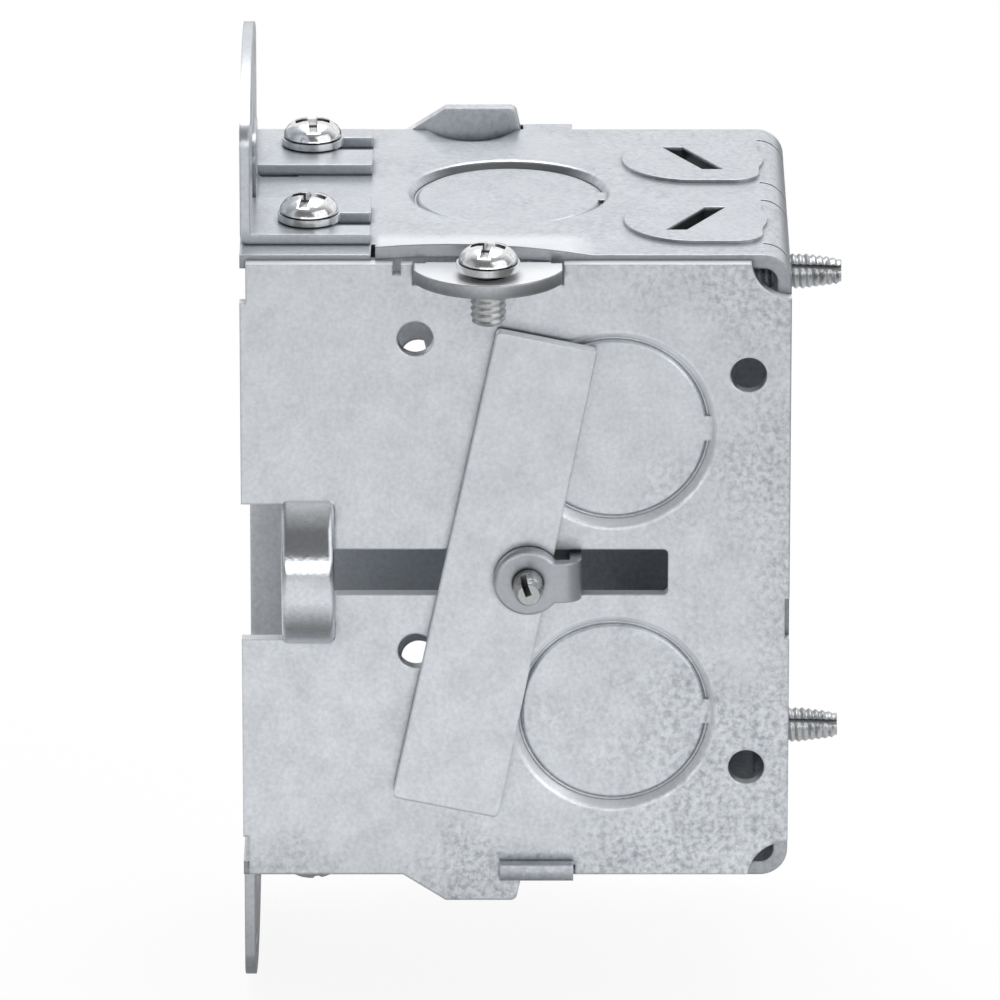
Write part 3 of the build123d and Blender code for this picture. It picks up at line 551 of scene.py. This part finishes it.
def all_screws():
    forms = {name: screw(name, **form) for name, form in SCREW_FORMS.items()}
    for side, s in SIDES.items():
        seat = (s * GANG_SCREW_X, GANG_SCREW_Y, s * GANG_SCREW_Z)
        set_screw(forms["gang"], "gang_screw_" + side, "box", seat, (0, 0, -s), GANG_SLOT_TURN)
        seat = (s * PIVOT_SCREW_X, PIVOT_SCREW_Y, 0)
        set_screw(forms["pivot"], "bar_pivot_screw_" + side, "hanger_" + side, seat, (s, 0, 0), PIVOT_SLOT_TURN)
        for end, e in ENDS.items():
            seat = (s * EAR_SCREW_X, EAR_SCREW_Y, e * EAR_SCREW_Z)
            turn = EAR_SLOT_TURN - EAR_SLOT_SPREAD * s
            set_screw(forms[end + "_ear"], f"ear_screw_{end}_{side}", "box", seat, (0, 0, -e), turn)
    for end, e in ENDS.items():
        seat = (0, CLAMP_SCREW_Y, e * CLAMP_SCREW_Z)
        set_screw(forms["clamp"], "cable_clamp_screw_" + end, "box", seat, (0, 1, 0), CLAMP_SLOT_TURN)
    for pattern in forms.values():
        bpy.data.objects.remove(pattern, do_unlink=True)


def knockout_webs():
    """The torn web that still joins each half-sheared knockout to the sheet round it."""
    web = start_line(WEB_START[0] * MM, WEB_START[1] * MM)
    for across, along in WEB_PROFILE:
        draw_to(across * MM, along * MM)
    turn_profile(web, WEB_FACETS)
    close_outwards()
    bpy.ops.object.shade_smooth_by_angle(angle=SMOOTH_BELOW)
    web.data.materials.append(WEB_STEEL)
    for end, e in ENDS.items():
        places = {end + "_end": ((0, END_KNOCKOUT_Y, e * HALF_HEIGHT), (0, 0, e))}
        for side, s in SIDES.items():
            places[f"{end}_{side}"] = ((s * HALF_WIDTH, SIDE_KNOCKOUT_Y, e * SIDE_KNOCKOUT_Z), (s, 0, 0))
        for name, (seat, outward) in places.items():
            placed = set_copy(web, "knockout_web_" + name, seat, outward)
            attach(placed, "box")
    bpy.data.objects.remove(web, do_unlink=True)


FINISHES = {"box_body": BODY_STEEL, "side_plate": PLATE_STEEL, "plaster_ear": EAR_STEEL, "swing_bar": BAR_STEEL,
            "bar_hanger": HANGER_STEEL, "cable_clamp": EAR_STEEL}


def finish_of(name):
    if "screw" in name:
        return HEAD_ZINC
    return next(finish for start, finish in FINISHES.items() if name.startswith(start))


for name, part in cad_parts.items():
    part.data.materials.clear()
    part.data.materials.append(finish_of(name))
all_screws()
knockout_webs()

# Studio, in metres
FLOOR_SIZE, FLOOR_GAP, FLOOR_WHITE, FLOOR_ROUGHNESS = 30.0, 0.2 * MM, (0.86, 0.86, 0.86, 1), 0.9
FLOOR_GLOW = 0.9
# What metal mirrors of the floor's glow, a painted reflection: a painted shadow under the box, then near it, far off,
# and beyond its back and its open front
FLOOR_UNDER_SHADOW, FLOOR_NEAR, FLOOR_FAR, FLOOR_BEHIND, FLOOR_BEFORE = 0.25, 1.0, 0.5, 0.12, 0.5
UNDER_SHADOW_SPAN, FAR_SPAN, BEHIND_SPAN, BEFORE_SPAN = (0.035, 0.085), (0.1, 0.5), (0.09, 0.23), (-0.03, -0.17)
ROOM, BACKDROP, OVERHEAD, FRONT_FILL = 0.2, 1.0, 0.35, 0.55
BACKDROP_SPAN, OVERHEAD_SPAN, FRONT_SPAN, HORIZON_SPAN = (0.1, -0.45), (0.75, 0.98), (-0.5, -0.95), (0.16, 0.05)
MIDDLE = (0, 0.03, 0)
CAMERA_AIM, CAMERA_RISE, CAMERA_BACK = Vector((25.4, 29.95, 8.85)) * MM, math.radians(19.4), 1.42
HALF_PICTURE, FOCAL_LENGTH = 500, 12290


def seen_rays(tree):
    """1 for the rays that show the studio itself: straight to the camera, mirrored or through glass."""
    path = tree.nodes.new("ShaderNodeLightPath")
    seen = combine(tree, "MAXIMUM", path.outputs["Is Camera Ray"], path.outputs["Is Glossy Ray"])
    return combine(tree, "MAXIMUM", seen, path.outputs["Is Transmission Ray"]), path.outputs["Is Camera Ray"]


def studio_floor():
    bpy.ops.object.select_all(action="DESELECT")
    bpy.ops.mesh.primitive_plane_add(size=FLOOR_SIZE, location=(0, 0, cad_box[0][2] - FLOOR_GAP))
    floor = bpy.context.object
    floor.name = "studio_floor"
    made, tree, shader = material("white_floor")
    shader.inputs["Base Color"].default_value = FLOOR_WHITE
    shader.inputs["Roughness"].default_value = FLOOR_ROUGHNESS
    seen, straight = seen_rays(tree)
    away = node(tree, "VectorMath", Vector=object_place(tree))
    away.operation = "LENGTH"
    away = away.outputs["Value"]
    along = node(tree, "SeparateXYZ", Vector=object_place(tree)).outputs["Y"]
    # The floor's glow for mirrored rays is a painted reflection, dimmed under the box as a painted shadow
    pool = product(tree, stretch(tree, away, *FAR_SPAN, FLOOR_NEAR, FLOOR_FAR),
                   stretch(tree, away, *UNDER_SHADOW_SPAN, FLOOR_UNDER_SHADOW, 1.0),
                   stretch(tree, along, *BEHIND_SPAN, 1.0, FLOOR_BEHIND),
                   stretch(tree, along, *BEFORE_SPAN, 1.0, FLOOR_BEFORE))
    glow = node(tree, "Emission", Color=(1, 1, 1, 1), Strength=combine(tree, "MAXIMUM", straight, pool))
    mix = tree.nodes.new("ShaderNodeMixShader")
    tree.links.new(product(tree, seen, FLOOR_GLOW), mix.inputs["Fac"])
    tree.links.new(shader.outputs["BSDF"], mix.inputs[1])
    tree.links.new(glow.outputs["Emission"], mix.inputs[2])
    tree.links.new(mix.outputs["Shader"], tree.nodes["Material Output"].inputs["Surface"])
    floor.data.materials.append(made)


def studio_world():
    """White backdrop behind the box and round the horizon, a darker room above on the camera's side."""
    world = bpy.data.worlds.new("white_studio")
    bpy.context.scene.world = world
    world.use_nodes = True
    tree = world.node_tree
    background = tree.nodes["Background"]
    way = node(tree, "SeparateXYZ", Vector=tree.nodes.new("ShaderNodeTexCoord").outputs["Generated"]).outputs
    room = combine(tree, "MAXIMUM", stretch(tree, way["X"], *BACKDROP_SPAN, ROOM, BACKDROP),
                   stretch(tree, way["Y"], *FRONT_SPAN, 0.0, FRONT_FILL))
    overhead = stretch(tree, way["Z"], *OVERHEAD_SPAN, 0.0, OVERHEAD)
    horizon = stretch(tree, combine(tree, "ABSOLUTE", way["Z"]), *HORIZON_SPAN)
    level = combine(tree, "MAXIMUM", combine(tree, "ADD", room, overhead), horizon)
    background.inputs["Color"].default_value = (1, 1, 1, 1)
    feed(tree, background.inputs["Strength"], level)


def softbox(name, place, aim, size, power):
    bpy.ops.object.light_add(type="AREA", location=Vector(place))
    lamp = bpy.context.object
    lamp.name = name
    lamp.data.shape = "RECTANGLE"
    lamp.data.size, lamp.data.size_y = size
    lamp.data.energy = power
    lamp.rotation_euler = (Vector(aim) - Vector(place)).to_track_quat("-Z", "Y").to_euler()


def studio_camera():
    back = Vector((math.cos(CAMERA_RISE), 0, math.sin(CAMERA_RISE)))
    bpy.ops.object.camera_add(location=CAMERA_AIM + back * CAMERA_BACK)
    camera = bpy.context.object
    camera.rotation_euler = (-back).to_track_quat("-Z", "Y").to_euler()
    camera.data.angle = 2 * math.atan(HALF_PICTURE / FOCAL_LENGTH)
    camera.data.clip_start = 0.05
    bpy.context.scene.camera = camera


studio_floor()
studio_world()
softbox("top_softbox", (-0.3, 0.03, 0.9), MIDDLE, (0.7, 0.7), 5.0)
softbox("low_strip", (1.0, 0.03, 0.06), (0, 0.03, 0.06), (1.2, 0.3), 2.3)
softbox("key_softbox", (0.7, 0.85, 0.55), MIDDLE, (1.2, 1.2), 5.0)
studio_camera()
bpy.context.scene.view_settings.view_transform = "Standard"
